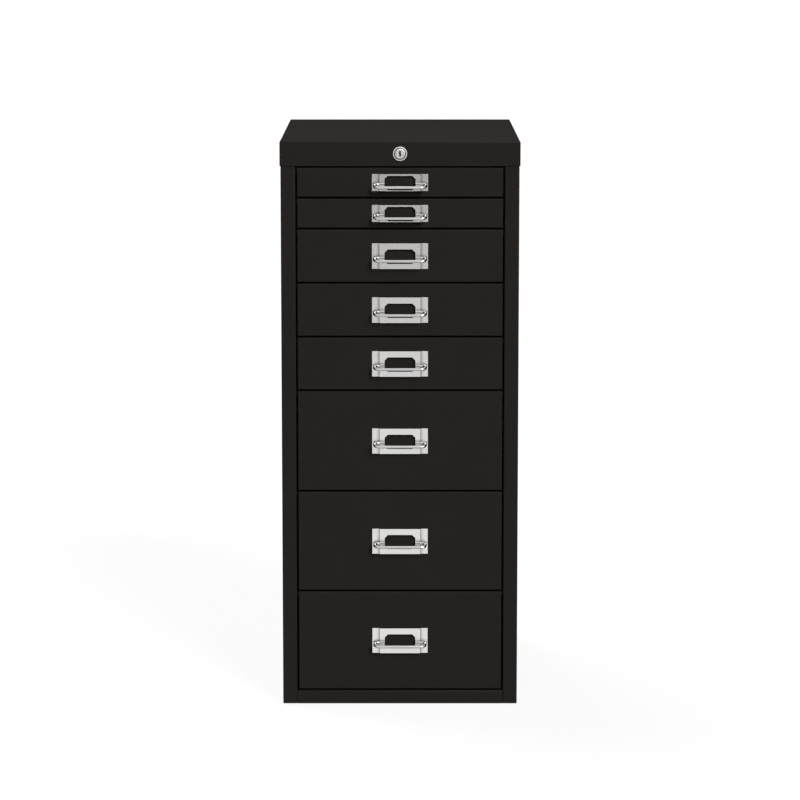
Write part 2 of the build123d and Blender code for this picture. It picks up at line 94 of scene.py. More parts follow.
class CabinetFinishes(bpy.types.PropertyGroup):
    """Colours, grain sizes and edge radii of the cabinet's materials."""

    powder_coat: FloatVectorProperty(
        name="Powder coat",
        description="Baked powder on the carcass and the drawers",
        subtype="COLOR",
        min=0,
        max=1,
        default=linear("201D1B"),
    )
    nickel: FloatVectorProperty(
        name="Nickel",
        description="Nickel on the handle plates, pulls and lock",
        subtype="COLOR",
        min=0,
        max=1,
        default=linear("E2E1E0"),
    )
    zinc: FloatVectorProperty(
        name="Zinc",
        description="Zinc plate on the hidden steel pieces",
        subtype="COLOR",
        min=0,
        max=1,
        default=linear("A9ADB3"),
    )
    nylon: FloatVectorProperty(
        name="Nylon",
        description="Black nylon of the runners",
        subtype="COLOR",
        min=0,
        max=1,
        default=linear("1C1C1C"),
    )
    polyethylene: FloatVectorProperty(
        name="Polyethylene",
        description="Black polyethylene of the glides",
        subtype="COLOR",
        min=0,
        max=1,
        default=linear("141414"),
    )
    # Near black painted in the lock's recesses, as painted shade.
    recess_shade: FloatVectorProperty(
        name="Recess shade",
        description="Painted shade inside the lock",
        subtype="COLOR",
        min=0,
        max=1,
        default=linear("1A1A1A"),
    )
    peel: FloatProperty(
        name="Orange peel",
        description="Width of one ripple in the powder coat",
        unit="LENGTH",
        default=0.003,
    )
    rolling: FloatProperty(
        name="Rolling lines",
        description="Width of the rolling lines in the plated sheet",
        unit="LENGTH",
        default=0.0012,
    )
    spangle: FloatProperty(
        name="Spangle",
        description="Width of one crystal in the zinc",
        unit="LENGTH",
        default=0.006,
    )
    turning: FloatProperty(
        name="Turning lines",
        description="Spacing of the turning lines on the lock's face",
        unit="LENGTH",
        default=0.0004,
    )
    # Reach of the painted shade that darkens the nickel sheet in its folds and corners
    reach: FloatProperty(
        name="Painted shade reach",
        description="How near another surface keeps the polishing wheel off the nickel",
        unit="LENGTH",
        default=0.004,
    )
    sheet_edge: FloatProperty(
        name="Sheet edge",
        description="Radius on the edges of the carcass sheets",
        unit="LENGTH",
        default=0.0003,
    )
    glide_edge: FloatProperty(
        name="Glide edge",
        description="Radius on the glides' edges",
        unit="LENGTH",
        default=0.0006,
    )


class HandleSizes(bpy.types.PropertyGroup):
    """Sizes of the pressed plates and the bent wire pulls."""

    sheet: FloatProperty(
        name="Sheet",
        description="Thickness of the plate",
        unit="LENGTH",
        default=0.0008,
    )
    edge: FloatProperty(
        name="Plate edge",
        description="Radius on the plate's edges",
        unit="LENGTH",
        default=0.00013333,
    )
    rise: FloatProperty(
        name="Rise",
        description="Height of the raised middle above the side flanges",
        unit="LENGTH",
        default=0.0023,
    )
    raised_width: FloatProperty(
        name="Raised width",
        description="Width of the raised middle",
        unit="LENGTH",
        default=0.0478,
    )
    trim: FloatProperty(
        name="Trim",
        description="Taken off the plate's upper and lower edges",
        unit="LENGTH",
        default=0.00045,
    )
    step_run: FloatProperty(
        name="Step run",
        description="Width of the step beside the raised middle",
        unit="LENGTH",
        default=0.0008,
    )
    window_width: FloatProperty(
        name="Window width",
        description="Width of the card window",
        unit="LENGTH",
        default=0.0362,
    )
    window_height: FloatProperty(
        name="Window height",
        description="Height of the card window",
        unit="LENGTH",
        default=0.017,
    )
    window_chamfer: FloatProperty(
        name="Window corner",
        description="Cut across each corner of the window",
        unit="LENGTH",
        default=0.0037,
    )
    window_drop: FloatProperty(
        name="Window drop",
        description="Window's middle below the plate's",
        unit="LENGTH",
        default=0.0006,
    )
    tunnel_drop: FloatProperty(
        name="Tunnel drop",
        description="Wire tunnels below the plate's middle",
        unit="LENGTH",
        default=0.0021,
    )
    tunnel_radius: FloatProperty(
        name="Tunnel radius",
        description="Outer radius of the half-round wire tunnels",
        unit="LENGTH",
        default=0.00265,
    )
    wire_diameter: FloatProperty(
        name="Wire diameter",
        description="Thickness of the pull's wire",
        unit="LENGTH",
        default=0.0036,
    )
    wire_root: FloatProperty(
        name="Wire root",
        description="Wire's centre in the tunnels, before the drawer front",
        unit="LENGTH",
        default=0.0029,
    )
    pull_span: FloatProperty(
        name="Pull span",
        description="Width over the pull's bends",
        unit="LENGTH",
        default=0.0635,
    )
    pull_stand: FloatProperty(
        name="Pull stand",
        description="Centre of the pull's bar before the drawer front",
        unit="LENGTH",
        default=0.013,
    )
    pull_drop: FloatProperty(
        name="Pull drop",
        description="Pull's bar below the plate's middle",
        unit="LENGTH",
        default=0.005,
    )
    tip: FloatProperty(
        name="Tip",
        description="Length of wire inside each tunnel",
        unit="LENGTH",
        default=0.0052,
    )


class LockSizes(bpy.types.PropertyGroup):
    """Sizes of the lock's ring, groove, plug and keyway."""

    groove_radius: FloatProperty(
        name="Groove radius",
        description="Outer radius of the groove around the plug",
        unit="LENGTH",
        default=0.007,
    )
    groove_depth: FloatProperty(
        name="Groove depth",
        description="Depth of the groove around the plug",
        unit="LENGTH",
        default=0.0015,
    )
    ring_round: FloatProperty(
        name="Ring rounding",
        description="Rounding on the ring's rim",
        unit="LENGTH",
        default=0.0005,
    )
    bore_radius: FloatProperty(
        name="Bore radius",
        description="Radius of the hole the plug turns in",
        unit="LENGTH",
        default=0.00605,
    )
    barrel_radius: FloatProperty(
        name="Barrel radius",
        description="Radius of the housing behind the cap",
        unit="LENGTH",
        default=0.0075,
    )
    dish_radius: FloatProperty(
        name="Dish radius",
        description="Radius of the plug's sunk face",
        unit="LENGTH",
        default=0.0041,
    )
    dish_depth: FloatProperty(
        name="Dish depth",
        description="Depth of the plug's sunk face",
        unit="LENGTH",
        default=0.00035,
    )
    bevel: FloatProperty(
        name="Plug bevel",
        description="Width of the slope around the plug's face",
        unit="LENGTH",
        default=0.0008,
    )
    keyway_width: FloatProperty(
        name="Keyway width",
        description="Width of the key's slot",
        unit="LENGTH",
        default=0.002,
    )
    keyway_height: FloatProperty(
        name="Keyway height",
        description="Height of the key's slot",
        unit="LENGTH",
        default=0.0064,
    )
    keyway_depth: FloatProperty(
        name="Keyway depth",
        description="Depth of the key's slot",
        unit="LENGTH",
        default=0.012,
    )
    ward: FloatProperty(
        name="Ward",
        description="How far each ward steps to the side",
        unit="LENGTH",
        default=0.0003,
    )
    seat_radius: FloatProperty(
        name="Seat radius",
        description="Radius of the shaft's seat behind the plug",
        unit="LENGTH",
        default=0.00305,
    )
    seat_depth: FloatProperty(
        name="Seat depth",
        description="Depth of the shaft's seat",
        unit="LENGTH",
        default=0.004,
    )


class StageSettings(bpy.types.PropertyGroup):
    """Camera, lamps, floor and cloths."""

    camera_distance: FloatProperty(
        name="Camera distance",
        description="Camera before the cabinet's middle",
        unit="LENGTH",
        default=4.0,
    )
    camera_height: FloatProperty(
        name="Camera height",
        description="Camera above the floor",
        unit="LENGTH",
        default=0.9537,
    )
    camera_fall: FloatProperty(
        name="Camera fall",
        description="How far the camera looks down",
        subtype="ANGLE",
        default=radians(8.721),
    )
    lens: FloatProperty(
        name="Lens",
        description="Focal length in millimetres",
        default=147.5,
    )
    key_way: FloatVectorProperty(
        name="Key way",
        description="Way to the front lamp",
        subtype="XYZ",
        default=(0.55, -1, 0.75),
    )
    key_power: FloatProperty(
        name="Key power",
        description="Watts per square metre from the soft lamp at the upper right, in front",
        default=3.5,
    )
    key_spread: FloatProperty(
        name="Key spread",
        description="Angle that the front lamp fills",
        subtype="ANGLE",
        default=radians(22),
    )
    back_way: FloatVectorProperty(
        name="Back way",
        description="Way to the back lamp",
        subtype="XYZ",
        default=(-0.6, 0.7, 0.9),
    )
    back_power: FloatProperty(
        name="Back power",
        description="Watts per square metre from the large soft lamp at the upper left, behind",
        default=3.0,
    )
    back_spread: FloatProperty(
        name="Back spread",
        description="Angle that the back lamp fills",
        subtype="ANGLE",
        default=radians(50),
    )
    fill: FloatProperty(
        name="Fill",
        description="Light from all round",
        default=0.12,
    )
    floor: FloatVectorProperty(
        name="Floor",
        description="Paint of the floor under the cabinet",
        subtype="COLOR",
        min=0,
        max=1,
        default=linear("FFFFFF"),
    )
    floor_glow: FloatProperty(
        name="Floor glow",
        description="Share of white that the floor shows even in the cabinet's shadow",
        subtype="FACTOR",
        default=0.85,
    )
    floor_reach: FloatProperty(
        name="Floor reach",
        description="Floor's edges from the cabinet's middle",
        unit="LENGTH",
        default=40,
    )
    cloth: FloatVectorProperty(
        name="Cloth",
        description="Black cloth round the stage",
        subtype="COLOR",
        min=0,
        max=1,
        default=linear("1E1B19"),
    )
    cloth_foot: FloatProperty(
        name="Cloth foot",
        description="Lower edge of the cloths above the floor",
        unit="LENGTH",
        default=0.05,
    )
    side_room: FloatProperty(
        name="Side room",
        description="Cabinet's middle to the cloth on each side",
        unit="LENGTH",
        default=4.5,
    )
    front_room: FloatProperty(
        name="Front room",
        description="Cabinet's middle to the cloth in front",
        unit="LENGTH",
        default=6.2,
    )
    back_room: FloatProperty(
        name="Back room",
        description="Cabinet's middle to the cloth behind",
        unit="LENGTH",
        default=2.2,
    )
    ceiling: FloatVectorProperty(
        name="Ceiling",
        description="Pale ceiling over the stage",
        subtype="COLOR",
        min=0,
        max=1,
        default=linear("F4F4F4"),
    )
    ceiling_height: FloatProperty(
        name="Ceiling height",
        description="Ceiling above the floor",
        unit="LENGTH",
        default=2.3,
    )


def fill_inputs(tree, node, inputs):
    """Give a node's inputs links or values. An input goes by its name or its number."""
    for name, value in inputs.items():
        if isinstance(value, bpy.types.NodeSocket):
            tree.links.new(value, node.inputs[name])
        else:
            node.inputs[name].default_value = value


def add_node(tree, kind, inputs=None, **settings):
    """Add a node with its settings, links and values."""
    node = tree.nodes.new(kind)
    for name, value in settings.items():
        setattr(node, name, value)
    fill_inputs(tree, node, inputs or {})
    return node


def shade(tint, share):
    """A colour made darker or lighter, as a node takes it."""
    return (*[share * level for level in tint], 1)


def bare_material(name):
    """A material without nodes, and its node tree."""
    material = bpy.data.materials.new(name)
    material.use_nodes = True
    material.node_tree.nodes.clear()
    return material, material.node_tree


def start_material(name, tint):
    """A material of one colour, with its node tree, its shader and the place of a point."""
    material, tree = bare_material(name)
    material.diffuse_color = shade(tint, 1)
    shader = add_node(tree, "ShaderNodeBsdfPrincipled", {"Base Color": shade(tint, 1)})
    add_node(tree, "ShaderNodeOutputMaterial", {"Surface": shader.outputs["BSDF"]})
    place = add_node(tree, "ShaderNodeTexCoord").outputs["Object"]
    return material, tree, shader, place


def powder_coated_steel(finishes):
    # Polyester powder, sprayed and baked on steel: an even satin black with the soft ripple of
    # orange peel. A real ripple is about 1 mm wide; it is drawn three times as wide, or it would
    # not show.
    tint = finishes.powder_coat
    cloud_width = 0.06
    material, tree, shader, place = start_material("Powder_coated_steel", tint)
    ripple = add_node(
        tree,
        "ShaderNodeTexNoise",
        {"Vector": place, "Scale": 1 / finishes.peel, "Roughness": 0.45},
    ).outputs["Fac"]
    cloud = add_node(
        tree,
        "ShaderNodeTexNoise",
        {"Vector": place, "Scale": 1 / cloud_width, "Detail": 3.0},
    ).outputs["Fac"]
    colour = add_node(
        tree,
        "ShaderNodeMix",
        {MIX_SHARE: cloud, MIX_FROM: shade(tint, 0.95), MIX_TO: shade(tint, 1.05)},
        data_type="RGBA",
    ).outputs[MIX_RESULT]
    gloss = add_node(
        tree,
        "ShaderNodeMapRange",
        {"Value": ripple, "To Min": 0.46, "To Max": 0.58},
    ).outputs["Result"]
    bump = add_node(
        tree,
        "ShaderNodeBump",
        {"Height": ripple, "Strength": 0.25, "Distance": 0.00006},
    ).outputs["Normal"]
    fill_inputs(
        tree,
        shader,
        {"Base Color": colour, "Roughness": gloss, "Normal": bump, "Specular IOR Level": 0.05},
    )
    return material


def nickel_plated_sheet(finishes, sizes):
    # Bright nickel on cold-rolled sheet: a clear grey metal with fine upright rolling lines. Real
    # lines are about 0.1 mm wide; they are drawn twelve times as wide, or they would not show.
    # Folds, corners and the sheet near the wire are painted darker the more closed in they are, and
    # the tunnels are painted darker towards their crowns: both are painted shade.
    tint = finishes.nickel
    line_length = 0.06
    haze_width = 0.012
    crown_y = FRONT_Y - sizes.wire_root - sizes.tunnel_radius
    raised_y = FRONT_Y - sizes.sheet - sizes.rise
    material, tree, shader, place = start_material("Nickel_plated_sheet", tint)
    drawn = add_node(
        tree,
        "ShaderNodeMapping",
        {"Vector": place, "Scale": (1 / finishes.rolling, 1 / finishes.rolling, 1 / line_length)},
    ).outputs["Vector"]
    lines = add_node(tree, "ShaderNodeTexNoise", {"Vector": drawn, "Scale": 1.0}).outputs["Fac"]
    haze = add_node(
        tree,
        "ShaderNodeTexNoise",
        {"Vector": place, "Scale": 1 / haze_width},
    ).outputs["Fac"]
    polished = add_node(
        tree,
        "ShaderNodeMix",
        {MIX_SHARE: lines, MIX_FROM: shade(tint, 0.93), MIX_TO: shade(tint, 1)},
        data_type="RGBA",
    ).outputs[MIX_RESULT]
    # Painted shade: the sheet is painted darker where it is closed in, in folds, corners and near
    # the wire.
    open_share = add_node(
        tree,
        "ShaderNodeAmbientOcclusion",
        {"Distance": finishes.reach},
    ).outputs["AO"]
    open_unshaded = add_node(
        tree,
        "ShaderNodeMapRange",
        {"Value": open_share, "From Min": 0.5},
    ).outputs["Result"]
    # Painted shade on the tunnels: painted darker towards their crowns, down to 0.4.
    depth = add_node(tree, "ShaderNodeSeparateXYZ", {"Vector": place}).outputs["Y"]
    tunnel_unshaded = add_node(
        tree,
        "ShaderNodeMapRange",
        {"Value": depth, "From Min": crown_y, "From Max": raised_y, "To Min": 0.4},
    ).outputs["Result"]
    unshaded_share = add_node(
        tree,
        "ShaderNodeMath",
        {0: open_unshaded, 1: tunnel_unshaded},
        operation="MULTIPLY",
    ).outputs["Value"]
    # The painted shade takes the colour down to 0.3 of the nickel.
    colour = add_node(
        tree,
        "ShaderNodeMix",
        {MIX_SHARE: unshaded_share, MIX_FROM: shade(tint, 0.3), MIX_TO: polished},
        data_type="RGBA",
    ).outputs[MIX_RESULT]
    gloss = add_node(
        tree,
        "ShaderNodeMapRange",
        {"Value": haze, "To Min": 0.22, "To Max": 0.28},
    ).outputs["Result"]
    bump = add_node(
        tree,
        "ShaderNodeBump",
        {"Height": lines, "Strength": 0.1, "Distance": 0.00001},
    ).outputs["Normal"]
    fill_inputs(
        tree,
        shader,
        {"Base Color": colour, "Roughness": gloss, "Normal": bump, "Metallic": 1.0},
    )
    return material


def nickel_plated_wire(finishes):
    # Bright nickel on drawn wire: a near mirror, hazy in places. Its underside is painted darker, a
    # painted shade, and the sides of the bends are painted near black, a painted dark reflection.
    tint = finishes.nickel
    haze_width = 0.004
    material, tree, shader, place = start_material("Nickel_plated_wire", tint)
    haze = add_node(
        tree,
        "ShaderNodeTexNoise",
        {"Vector": place, "Scale": 1 / haze_width, "Detail": 3.0},
    ).outputs["Fac"]
    facing = add_node(tree, "ShaderNodeNewGeometry").outputs["Normal"]
    axes = add_node(tree, "ShaderNodeSeparateXYZ", {"Vector": facing}).outputs
    # Painted shade: the colour is painted down to half the nickel's where the wire faces down.
    underside_unshaded = add_node(
        tree,
        "ShaderNodeMapRange",
        {"Value": axes["Z"], "From Min": -0.6, "From Max": 0.3},
    ).outputs["Result"]
    shaded_underside = add_node(
        tree,
        "ShaderNodeMix",
        {MIX_SHARE: underside_unshaded, MIX_FROM: shade(tint, 0.5), MIX_TO: shade(tint, 1)},
        data_type="RGBA",
    ).outputs[MIX_RESULT]
    sideways = add_node(
        tree,
        "ShaderNodeMath",
        {0: axes["X"]},
        operation="ABSOLUTE",
    ).outputs["Value"]
    # Painted dark reflection: the sides of the bends are painted near black.
    painted_dark_sides = add_node(
        tree,
        "ShaderNodeMapRange",
        {"Value": sideways, "From Min": 0.25, "From Max": 0.7},
    ).outputs["Result"]
    colour = add_node(
        tree,
        "ShaderNodeMix",
        {MIX_SHARE: painted_dark_sides, MIX_FROM: shaded_underside, MIX_TO: shade(tint, 0.15)},
        data_type="RGBA",
    ).outputs[MIX_RESULT]
    gloss = add_node(
        tree,
        "ShaderNodeMapRange",
        {"Value": haze, "To Min": 0.14, "To Max": 0.22},
    ).outputs["Result"]
    fill_inputs(tree, shader, {"Base Color": colour, "Roughness": gloss, "Metallic": 1.0})
    return material


def nickel_plated_casting(finishes):
    # Zinc die casting, turned on its face and nickel plated: fine rings around the lock's axis and
    # small pits. Real turning lines are about 0.1 mm apart; they are drawn four times as wide, or
    # they would not show. At a scale of 1, the wave texture's rings are 2 pi / 20 apart.
    tint = finishes.nickel
    pit_width = 0.0008
    ring_scale = 2 * pi / 20 / finishes.turning
    material, tree, shader, place = start_material("Nickel_plated_casting", tint)
    centred = add_node(
        tree,
        "ShaderNodeMapping",
        {"Vector": place, "Location": (0, 0, -LOCK_AXIS_Z)},
    ).outputs["Vector"]
    rings = add_node(
        tree,
        "ShaderNodeTexWave",
        {"Vector": centred, "Scale": ring_scale, "Distortion": 0.6},
        wave_type="RINGS",
        rings_direction="Y",
    ).outputs["Fac"]
    pits = add_node(
        tree,
        "ShaderNodeTexNoise",
        {"Vector": place, "Scale": 1 / pit_width, "Detail": 3.0},
    ).outputs["Fac"]
    colour = add_node(
        tree,
        "ShaderNodeMix",
        {MIX_SHARE: pits, MIX_FROM: shade(tint, 0.58), MIX_TO: shade(tint, 0.7)},
        data_type="RGBA",
    ).outputs[MIX_RESULT]
    gloss = add_node(
        tree,
        "ShaderNodeMapRange",
        {"Value": pits, "To Min": 0.52, "To Max": 0.62},
    ).outputs["Result"]
    bump = add_node(
        tree,
        "ShaderNodeBump",
        {"Height": rings, "Strength": 0.15, "Distance": 0.00002},
    ).outputs["Normal"]
    fill_inputs(
        tree,
        shader,
        {"Base Color": colour, "Roughness": gloss, "Normal": bump, "Metallic": 1.0},
    )
    return material


def painted_recess_shade(finishes):
    # A matt near-black, faintly mottled, painted on the lock's groove, bore and keyway: painted
    # shade in these recesses.
    tint = finishes.recess_shade
    crystal_width = 0.0004
    material, tree, shader, place = start_material("Painted_recess_shade", tint)
    crystals = add_node(
        tree,
        "ShaderNodeTexNoise",
        {"Vector": place, "Scale": 1 / crystal_width},
    ).outputs["Fac"]
    colour = add_node(
        tree,
        "ShaderNodeMix",
        {MIX_SHARE: crystals, MIX_FROM: shade(tint, 0.7), MIX_TO: shade(tint, 1)},
        data_type="RGBA",
    ).outputs[MIX_RESULT]
    gloss = add_node(
        tree,
        "ShaderNodeMapRange",
        {"Value": crystals, "To Min": 0.5, "To Max": 0.7},
    ).outputs["Result"]
    fill_inputs(
        tree,
        shader,
        {"Base Color": colour, "Roughness": gloss, "Specular IOR Level": 0.3},
    )
    return material


def zinc_plated_steel(finishes):
    # Bright zinc on mild steel: a cool grey metal with faint crystal patches and a satin skin.
    tint = finishes.zinc
    grain_width = 0.001
    material, tree, shader, place = start_material("Zinc_plated_steel", tint)
    crystals = add_node(
        tree,
        "ShaderNodeTexVoronoi",
        {"Vector": place, "Scale": 1 / finishes.spangle},
    ).outputs["Color"]
    patch = add_node(tree, "ShaderNodeSeparateColor", {"Color": crystals}).outputs["Red"]
    grain = add_node(
        tree,
        "ShaderNodeTexNoise",
        {"Vector": place, "Scale": 1 / grain_width, "Detail": 3.0},
    ).outputs["Fac"]
    colour = add_node(
        tree,
        "ShaderNodeMix",
        {MIX_SHARE: patch, MIX_FROM: shade(tint, 0.86), MIX_TO: shade(tint, 1)},
        data_type="RGBA",
    ).outputs[MIX_RESULT]
    gloss = add_node(
        tree,
        "ShaderNodeMapRange",
        {"Value": grain, "To Min": 0.3, "To Max": 0.46},
    ).outputs["Result"]
    fill_inputs(tree, shader, {"Base Color": colour, "Roughness": gloss, "Metallic": 1.0})
    return material


def moulded_nylon(finishes):
    # Injection-moulded black nylon: a soft, uneven sheen with faint flow marks.
    tint = finishes.nylon
    flow_width = 0.015
    material, tree, shader, place = start_material("Moulded_nylon", tint)
    flow = add_node(
        tree,
        "ShaderNodeTexNoise",
        {"Vector": place, "Scale": 1 / flow_width},
    ).outputs["Fac"]
    colour = add_node(
        tree,
        "ShaderNodeMix",
        {MIX_SHARE: flow, MIX_FROM: shade(tint, 0.8), MIX_TO: shade(tint, 1.1)},
        data_type="RGBA",
    ).outputs[MIX_RESULT]
    gloss = add_node(
        tree,
        "ShaderNodeMapRange",
        {"Value": flow, "To Min": 0.38, "To Max": 0.5},
    ).outputs["Result"]
    fill_inputs(tree, shader, {"Base Color": colour, "Roughness": gloss, "IOR": 1.53})
    return material


def moulded_polyethylene(finishes):
    # Injection-moulded polyethylene: waxy black with the mould's fine spark texture.
    spark_width = 0.0008
    material, tree, shader, place = start_material("Moulded_polyethylene", finishes.polyethylene)
    spark = add_node(
        tree,
        "ShaderNodeTexNoise",
        {"Vector": place, "Scale": 1 / spark_width},
    ).outputs["Fac"]
    gloss = add_node(
        tree,
        "ShaderNodeMapRange",
        {"Value": spark, "To Min": 0.45, "To Max": 0.6},
    ).outputs["Result"]
    bump = add_node(
        tree,
        "ShaderNodeBump",
        {"Height": spark, "Strength": 0.2, "Distance": 0.00003},
    ).outputs["Normal"]
    fill_inputs(tree, shader, {"Roughness": gloss, "Normal": bump, "IOR": 1.51})
    return material


def soften(piece, radius):
    """Round a piece's sharp edges with a small bevel."""
    bevel = piece.modifiers.new("Soft_edges", "BEVEL")
    bevel.width = radius
    bevel.segments = EDGE_STEPS
    bevel.limit_method = "ANGLE"
    bevel.angle_limit = SHARP_TURN
    bevel.harden_normals = True


def finish_nodes(names, material, edge=0.0):
    """Give CAD nodes their material, and soften their sharp edges where a radius is given."""
    for name in names:
        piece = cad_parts[name]
        piece.data.materials.clear()
        piece.data.materials.append(material)
        if edge:
            piece.modifiers.new("Join_faces", "WELD").merge_threshold = TOUCHING
            flat = piece.modifiers.new("Join_flats", "DECIMATE")
            flat.decimate_type = "DISSOLVE"
            flat.angle_limit = FLAT_TURN
            soften(piece, edge)


def finish_mesh(maker, name):
    """Turn what was drawn into a mesh."""
    mesh = bpy.data.meshes.new(name)
    maker.to_mesh(mesh)
    maker.free()
    return mesh


def new_piece(name, mesh, material, body, node):
    """Put a finished mesh in the scene in place of a CAD node."""
    mesh.materials.append(material)
    mesh.shade_smooth()
    piece = bpy.data.objects.new(name, mesh)
    bpy.context.scene.collection.objects.link(piece)
    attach(piece, body)
    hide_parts(node)
    return piece


def plate_mesh(name, sizes, width, height, middle_z):
    """Front of a pressed plate, on a grid whose lines follow its folds, window and tunnels."""
    raised_half = sizes.raised_width / 2
    raised_y = FRONT_Y - sizes.sheet - sizes.rise
    window_half = sizes.window_width / 2
    window_low = -sizes.window_drop - sizes.window_height / 2
    window_high = window_low + sizes.window_height
    corner_half = window_half - sizes.window_chamfer
    corner_low = window_low + sizes.window_chamfer
    corner_high = window_high - sizes.window_chamfer
    steps = range(1, FOLD_STEPS + 1)
    folds = [raised_half + sizes.step_run * step / FOLD_STEPS for step in steps]
    right = [corner_half, window_half, raised_half, *folds, width / 2]
    columns = [-x for x in reversed(right)] + right
    turns = [pi * step / TUNNEL_STEPS for step in range(TUNNEL_STEPS + 1)]
    arc = [sizes.tunnel_radius * cos(turn) - sizes.tunnel_drop for turn in turns]
    window_rows = [window_low, corner_low, corner_high, window_high]
    rows = sorted([-height / 2, *window_rows, *arc, height / 2])

    def depth(x, z):
        """Y of the sheet's front at a place on the grid."""
        across = abs(x)
        if across > raised_half:
            share = min((across - raised_half) / sizes.step_run, 1)
            return raised_y + sizes.rise * share * share * (3 - 2 * share)
        from_tunnel = z + sizes.tunnel_drop
        if across >= window_half - TOUCHING and abs(from_tunnel) < sizes.tunnel_radius:
            crown = FRONT_Y - sizes.wire_root - sqrt(sizes.tunnel_radius ** 2 - from_tunnel ** 2)
            return min(raised_y, crown)
        return raised_y

    def from_window(point):
        """How far a point is from the window's middle, across and along."""
        return abs(point.co.x) + abs(point.co.z - middle_z + sizes.window_drop)

    maker = bmesh.new()
    points = [[maker.verts.new((x, depth(x, z), middle_z + z)) for z in rows] for x in columns]
    for i in range(len(columns) - 1):
        across = abs(columns[i] + columns[i + 1]) / 2
        for j in range(len(rows) - 1):
            along = (rows[j] + rows[j + 1]) / 2
            on_step = raised_half < across < folds[-1]
            if on_step and abs(along + sizes.tunnel_drop) < sizes.tunnel_radius:
                continue
            corners = [points[i][j], points[i + 1][j], points[i + 1][j + 1], points[i][j + 1]]
            if across < window_half and window_low < along < window_high:
                if across < corner_half or corner_low < along < corner_high:
                    continue
                corners.remove(min(corners, key=from_window))
            maker.faces.new(corners)
    loose = [point for point in maker.verts if not point.link_faces]
    bmesh.ops.delete(maker, geom=loose, context="VERTS")
    return finish_mesh(maker, name)


def wire_mesh(name, sizes, middle_z):
    """Round wire along the pull's bar, its half-round ends and its tips in the tunnels."""
    radius = sizes.wire_diameter / 2
    fall = sizes.pull_drop - sizes.tunnel_drop
    forward = sizes.pull_stand - sizes.wire_root
    slope = atan2(fall, forward)
    bend = hypot(fall, forward) / 2
    bend_x = sizes.pull_span / 2 - radius - bend
    tip_x = sizes.raised_width / 2 - sizes.tip
    turns = [pi * step / BEND_STEPS for step in range(BEND_STEPS + 1)]
    bow = [(bend_x + bend * sin(turn), bend - bend * cos(turn)) for turn in turns]
    right = [(tip_x, 0), *bow]
    route = right + [(-x, out) for x, out in reversed(right)]
    curve = bpy.data.curves.new(name, "CURVE")
    curve.dimensions = "3D"
    curve.bevel_depth = radius
    curve.bevel_resolution = WIRE_STEPS
    curve.use_fill_caps = True
    spline = curve.splines.new("POLY")
    spline.points.add(len(route) - 1)
    root_y = FRONT_Y - sizes.wire_root
    root_z = middle_z - sizes.tunnel_drop
    for point, (x, out) in zip(spline.points, route):
        point.co = (x, root_y - out * cos(slope), root_z - out * sin(slope), 1)
    wire = bpy.data.objects.new(name, curve)
    mesh = bpy.data.meshes.new_from_object(wire)
    mesh.name = name
    bpy.data.objects.remove(wire)
    bpy.data.curves.remove(curve)
    return mesh


def join_rings(maker, first, second):
    """Faces between two closed rings of points."""
    return [
        maker.faces.new([first[side - 1], first[side], second[side], second[side - 1]])
        for side in range(len(first))
    ]


def turn_profile(maker, profile):
    """Turn (radius, y) points about the lock's axis into rings of points and bands of faces."""
    turns = [2 * pi * step / LATHE_STEPS for step in range(LATHE_STEPS)]
    circle = [(cos(turn), sin(turn)) for turn in turns]
    rings = [
        [maker.verts.new((radius * x, y, LOCK_AXIS_Z + radius * z)) for x, z in circle]
        for radius, y in profile
    ]
    bands = [join_rings(maker, first, second) for first, second in zip(rings, rings[1:])]
    return rings, bands


class CABINET_OT_coat_carcass(bpy.types.Operator):
    """Coat the carcass sheets in powder"""

    bl_idname = "cabinet.coat_carcass"
    bl_label = "Coat Carcass"

    def execute(self, context):
        finishes = context.scene.cabinet_finishes
        coat = powder_coated_steel(finishes)
        panels = ["side_panel_left", "side_panel_right", "base_panel", "back_panel"]
        finish_nodes([*panels, "top_cap", "lock_rail"], coat, finishes.sheet_edge)
        return {"FINISHED"}


class CABINET_OT_coat_drawers(bpy.types.Operator):
    """Coat the drawer fronts and trays in the carcass's powder"""

    bl_idname = "cabinet.coat_drawers"
    bl_label = "Coat Drawers"

    def execute(self, context):
        coat = bpy.data.materials["Powder_coated_steel"]
        for number in DRAWERS:
            finish_nodes([f"drawer_{number}_front", f"drawer_{number}_tray"], coat)
        return {"FINISHED"}


class CABINET_OT_fit_runners(bpy.types.Operator):
    """Plate the uprights in zinc and mould the runners in nylon"""

    bl_idname = "cabinet.fit_runners"
    bl_label = "Fit Runners"

    def execute(self, context):
        finishes = context.scene.cabinet_finishes
        finish_nodes(["runner_uprights"], zinc_plated_steel(finishes))
        finish_nodes(["left_runners", "right_runners"], moulded_nylon(finishes))
        return {"FINISHED"}


class CABINET_OT_press_plates(bpy.types.Operator):
    """Press the handle plates from nickel-plated sheet"""

    bl_idname = "cabinet.press_plates"
    bl_label = "Press Handle Plates"

    def execute(self, context):
        sizes = context.scene.cabinet_handles
        metal = nickel_plated_sheet(context.scene.cabinet_finishes, sizes)
        for number in DRAWERS:
            name = f"pressed_plate_{number}"
            node = f"drawer_{number}_plate"
            low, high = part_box(node)
            width = high.x - low.x
            height = high.z - low.z - 2 * sizes.trim
            mesh = plate_mesh(name, sizes, width, height, (low.z + high.z) / 2)
            plate = new_piece(name, mesh, metal, f"drawer_{number}", node)
            sheet = plate.modifiers.new("Sheet", "SOLIDIFY")
            sheet.thickness = sizes.sheet
            sheet.offset = -1
            sheet.use_even_offset = True
            soften(plate, sizes.edge)
        return {"FINISHED"}


